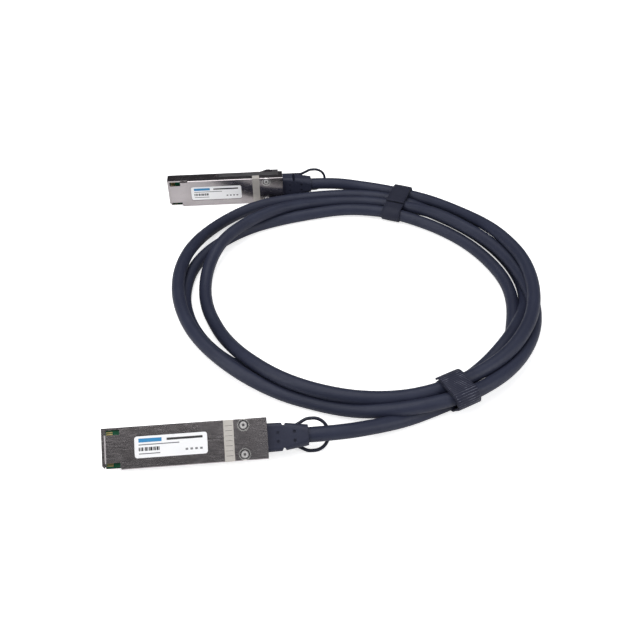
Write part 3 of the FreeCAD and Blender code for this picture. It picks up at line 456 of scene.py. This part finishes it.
def bars():
    """Rectangles on the label as x0, x1, y0, y1 in mm and the ink's number."""
    blue, dark, grey = range(3)
    out = [(PRINT_LEFT, 26.2, 2.0, 3.7, blue), (28.4, 44.0, 2.3, 3.3, dark)]
    out += [(PRINT_LEFT, 33.8, 0.75, 1.2, grey), (PRINT_LEFT, 25.4, -3.15, -2.7, grey)]
    x = PRINT_LEFT
    # a bar and the gap after it, in units
    code = ((3, 2), (2, 1), (4, 2), (1, 2), (5, 1), (2, 2), (3, 1), (6, 2), (2, 1), (4, 2), (5, 1), (2, 0))
    for width, gap in code:
        out.append((x, x + width * CODE_UNIT, CODE_BOTTOM, CODE_TOP, dark))
        x += (width + gap) * CODE_UNIT
    for i in range(4):
        left = MARK_LEFT + MARK_PITCH * i
        out.append((left, left + MARK_WIDTH, -2.6, -1.7, grey))
    return out


def label_print(side):
    """The fields and bars of colour on one label."""
    place = plug_frame(side)
    vertices, faces, inks = [], [], []
    for x0, x1, y0, y1, ink in bars():
        start = len(vertices)
        for x, y in ((x0, y0), (x1, y0), (x1, y1), (x0, y1)):
            vertices.append(place @ Vector((x * mm, y * mm, -LABEL_DEPTH + INK)))
        faces.append((start, start + 1, start + 2, start + 3))
        inks.append(ink)
    thing = add_mesh(side + "_label_print", vertices, faces, [blue_print, dark_print, grey_print], inks)
    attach(thing, "assembly")


# ---- springs behind the slider ----------------------------------------------------------------------

def springs(side):
    """The two springs that push one slider forward."""
    place = plug_frame(side)
    data = bpy.data.curves.new(side + "_return_springs", "CURVE")
    data.dimensions = "3D"
    for y in (-SPRING_SIDE, SPRING_SIDE):
        count = int(SPRING_TURNS * SPRING_STEPS)
        line = data.splines.new("NURBS")
        line.points.add(count)
        for i in range(count + 1):
            a = 2 * math.pi * SPRING_TURNS * i / count
            x = SPRING_START + SPRING_LENGTH * i / count
            across = y + SPRING_RADIUS * math.cos(a)
            height = SPRING_RADIUS * math.sin(a) - SPRING_DEPTH
            line.points[i].co = (*(place @ Vector((x * mm, across * mm, height * mm))), 1.0)
        line.order_u = 4
        line.use_endpoint_u = True
        line.resolution_u = 4
    data.bevel_depth = SPRING_WIRE
    data.bevel_resolution = 3
    data.use_fill_caps = True
    data.materials.append(spring_metal)
    thing = bpy.data.objects.new(side + "_return_springs", data)
    bpy.context.collection.objects.link(thing)
    mesh = bpy.data.meshes.new_from_object(thing.evaluated_get(bpy.context.evaluated_depsgraph_get()))
    bpy.data.objects.remove(thing)
    solid = bpy.data.objects.new(side + "_return_springs", mesh)
    bpy.context.collection.objects.link(solid)
    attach(solid, "assembly")
    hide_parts(side + "_slider_springs")
    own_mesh(solid)


# ---- ties -------------------------------------------------------------------------------------------

def wrapped(strands, reach):
    """Points of the tightest closed band round circles of one size, as radius and height."""
    points = []
    for i in range(BAND_PARTS):
        a = math.radians(-90.0) + 2 * math.pi * i / BAND_PARTS
        ux, uz = math.cos(a), math.sin(a)
        r, z = max(strands, key=lambda s: s[0] * ux + s[1] * uz)
        points.append((r + reach * ux, z + reach * uz))
    return points


def tie(name, angle, width, strands, start, overlap, lift_off, lean, material, node):
    """A tape wound once round the strands, its end pressed on its own start.

    angle, in degrees from the back, says where on the coil it sits; start, where on the band it begins;
    lean shifts it along the cable by the place round the strands, from 0 to 1.
    """
    loop = wrapped(strands, CABLE / 2 + TIE_THICK / 2)
    lengths = [0.0]
    for i in range(len(loop)):
        a, b = loop[i], loop[(i + 1) % len(loop)]
        lengths.append(lengths[-1] + math.hypot(b[0] - a[0], b[1] - a[1]))
    whole = lengths[-1]

    def at(distance):
        """Point on the closed band."""
        d = distance % whole
        i = max(j for j in range(len(loop)) if lengths[j] <= d + 1e-12)
        a, b = loop[i], loop[(i + 1) % len(loop)]
        span = lengths[i + 1] - lengths[i]
        t = (d - lengths[i]) / span if span > 1e-9 else 0.0
        return a[0] + (b[0] - a[0]) * t, a[1] + (b[1] - a[1]) * t

    total = whole + overlap
    nearby = 0.0006
    rows = []
    for i in range(TIE_PARTS + 1):
        d = total * i / TIE_PARTS
        lift = TIE_THICK * TIE_LIFT * min(max((d - whole + TIE_CLIMB) / TIE_CLIMB, 0.0), 1.0)
        lift += lift_off * max((d - total + TIE_TIP) / TIE_TIP, 0.0) ** 1.5
        r0, z0 = at(start + d - nearby)
        r1, z1 = at(start + d + nearby)
        r, z = at(start + d)
        size = math.hypot(r1 - r0, z1 - z0) or 1.0
        outward = ((z1 - z0) / size, -(r1 - r0) / size)
        shift = lean(((start + d) % whole) / whole)
        rows.append((r + outward[0] * lift, z + outward[1] * lift, outward, d, shift))
    a = math.radians(90.0 - angle)
    along_r = Vector((math.cos(a), math.sin(a), 0.0))
    along_w = Vector((-math.sin(a), math.cos(a), 0.0))
    centre = Vector((COIL_X, COIL_Y, 0.0))
    half = width / 2
    t = TIE_THICK / 2
    # section across the tape, with rounded edges and a slightly domed top, as across and outward
    under, over = 0.0002, 0.0003
    section = [
        (-half + under, -t), (half - under, -t), (half, -t * 0.3), (half, t * 0.3), (half - over, t),
        (half * 0.5, t * 1.06), (0.0, t * 1.1), (-half * 0.5, t * 1.06), (-half + over, t), (-half, t * 0.3),
        (-half, -t * 0.3)]
    vertices, faces, uvs = [], [], []
    for r, z, outward, d, shift in rows:
        for across, out in section:
            vertices.append(centre + along_r * (r + outward[0] * out) + along_w * (across + shift)
                            + Vector((0, 0, z + outward[1] * out)))
            uvs.append((d, across))
    k = len(section)
    for i in range(len(rows) - 1):
        for j in range(k):
            faces.append((i * k + j, i * k + (j + 1) % k, (i + 1) * k + (j + 1) % k, (i + 1) * k + j))
    faces.append(tuple(range(k - 1, -1, -1)))
    faces.append(tuple(range(len(rows) * k - k, len(rows) * k)))
    thing = add_mesh(name, vertices, faces, [material], smooth=True)
    layer = thing.data.uv_layers.new(name="tape")
    for loop_item in thing.data.loops:
        layer.data[loop_item.index].uv = uvs[loop_item.vertex_index]
    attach(thing, "assembly")
    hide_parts(node)
    return thing


def strand(turned):
    """A strand's radius and height after so many degrees of the coil."""
    return eased(coil_keys, turned, 1) * mm, eased(coil_keys, turned, 2) * mm


# three turns and the far tail at the back, four turns at the front
back_strands = [strand(378), strand(738), strand(1098), (0.0982, 0.0060)]
front_strands = [strand(150), strand(510), strand(870), strand(1229)]
tie_back = tie(
    "tie_back_tape", angle=20.5, width=0.0112, strands=back_strands, start=0.030, overlap=0.014, lift_off=0.0002,
    lean=lambda around: 0.0, material=smooth_tape, node="tie_back")
tie_front = tie(
    "tie_front_tape", angle=151.0, width=0.0126, strands=front_strands, start=0.021, overlap=0.020, lift_off=0.0004,
    lean=lambda around: 0.0017 * math.cos(2 * math.pi * (around - 0.1)), material=woven_tape,
    node="tie_front")

for side in SIDES:
    label_print(side)
    springs(side)


# ---- stage ------------------------------------------------------------------------------------------

def background_rays(tree, reflected):
    """1 for what the camera sees and a share of it in reflections, so that the glow hardly lights the object."""
    path = tree.nodes.new("ShaderNodeLightPath")
    total = path.outputs["Is Camera Ray"]
    for name in ("Is Glossy Ray", "Is Transmission Ray"):
        add = tree.nodes.new("ShaderNodeMath")
        add.operation = "MULTIPLY_ADD"
        tree.links.new(path.outputs[name], add.inputs[0])
        add.inputs[1].default_value = reflected
        tree.links.new(total, add.inputs[2])
        total = add.outputs["Value"]
    return total


def stage_plane(name, size, location, rotation, colour, glow, reflected=0.0):
    """A square that glows for the camera, and by a share of it in reflections."""
    h = size / 2
    thing = add_mesh(name, [(-h, -h, 0), (h, -h, 0), (h, h, 0), (-h, h, 0)], [(0, 1, 2, 3)], [])
    thing.location = location
    thing.rotation_euler = rotation
    material = bpy.data.materials.new(name)
    material.use_nodes = True
    bsdf = material.node_tree.nodes["Principled BSDF"]
    bsdf.inputs["Base Color"].default_value = (*colour, 1.0)
    bsdf.inputs["Roughness"].default_value = 0.9
    bsdf.inputs["Specular IOR Level"].default_value = 0.1
    bsdf.inputs["Emission Color"].default_value = (1.0, 1.0, 1.0, 1.0)
    times = material.node_tree.nodes.new("ShaderNodeMath")
    times.operation = "MULTIPLY"
    times.inputs[1].default_value = glow
    material.node_tree.links.new(background_rays(material.node_tree, reflected), times.inputs[0])
    material.node_tree.links.new(times.outputs["Value"], bsdf.inputs["Emission Strength"])
    thing.data.materials.append(material)
    return thing


def softbox(name, size, location, target, power):
    """A white area lamp turned to its target."""
    data = bpy.data.lights.new(name, "AREA")
    data.shape = "RECTANGLE"
    data.size, data.size_y = size
    data.energy = power
    lamp = bpy.data.objects.new(name, data)
    lamp.location = location
    lamp.rotation_euler = (Vector(target) - Vector(location)).to_track_quat("-Z", "Y").to_euler()
    bpy.context.collection.objects.link(lamp)


NEAR_BLACK = (0.02, 0.02, 0.025)
stage_plane("floor", 1.6, (0.05, -0.05, -0.0001), (0, 0, 0), (0.9, 0.9, 0.9), 0.68, 0.12)
# flags that are dark in the metal's reflections and white to the camera
stage_plane("dark_flag", 1.6, (0.0, 0.75, 0.90), (math.pi / 2, 0, 0), NEAR_BLACK, 1.0)
stage_plane("front_flag", 0.8, (-0.29, -1.10, 1.15), (math.radians(45), 0, 0), NEAR_BLACK, 1.0, 0.06)
softbox("overhead", (1.2, 0.6), (-0.06, 0.03, 0.80), (0.03, 0.0, 0.0), 5.6)
softbox("left_fill", (0.3, 0.6), (-0.65, -0.45, 0.40), (0.0, 0.0, 0.0), 3.0)
softbox("right_fill", (0.3, 0.6), (0.80, -0.40, 0.40), (0.06, 0.0, 0.0), 3.0)

# the world is white to the camera and a dim blue grey to the object
world = bpy.data.worlds.new("world")
bpy.context.scene.world = world
world.use_nodes = True
dim = world.node_tree.nodes["Background"]
dim.inputs["Color"].default_value = (0.80, 0.82, 0.88, 1.0)
dim.inputs["Strength"].default_value = 0.22
white = world.node_tree.nodes.new("ShaderNodeBackground")
white.inputs["Color"].default_value = (1.0, 1.0, 1.0, 1.0)
white.inputs["Strength"].default_value = 1.0
either = world.node_tree.nodes.new("ShaderNodeMixShader")
world.node_tree.links.new(background_rays(world.node_tree, 0.03), either.inputs[0])
world.node_tree.links.new(dim.outputs[0], either.inputs[1])
world.node_tree.links.new(white.outputs[0], either.inputs[2])
world.node_tree.links.new(either.outputs[0], world.node_tree.nodes["World Output"].inputs["Surface"])
bpy.context.scene.view_settings.view_transform = "Standard"
